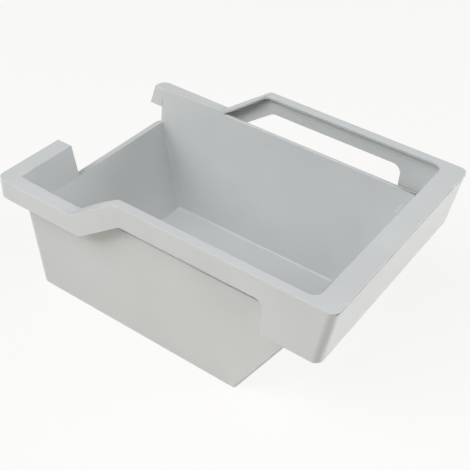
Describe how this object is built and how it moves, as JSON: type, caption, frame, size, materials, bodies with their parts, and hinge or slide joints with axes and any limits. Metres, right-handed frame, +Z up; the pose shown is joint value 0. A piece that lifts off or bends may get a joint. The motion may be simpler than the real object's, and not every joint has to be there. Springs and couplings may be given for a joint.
{
  "type": "ice cube tray",
  "caption": "Deep ice cube tray moulded in one piece: drafted bin, notched rear rim, side windows under a raised frame, and a deep hollow front.",
  "frame": {"origin": "centre of the tray's outline at the level of its base", "axes": "+X to the front face of the tray, +Z up, +Y across it to the left of someone who faces along +X"},
  "size_m": [0.31, 0.21, 0.15],
  "materials": {
    "plastic": "satin"
  },
  "bodies": {
    "root": {"tray": "plastic"}
  },
  "joints": []
}
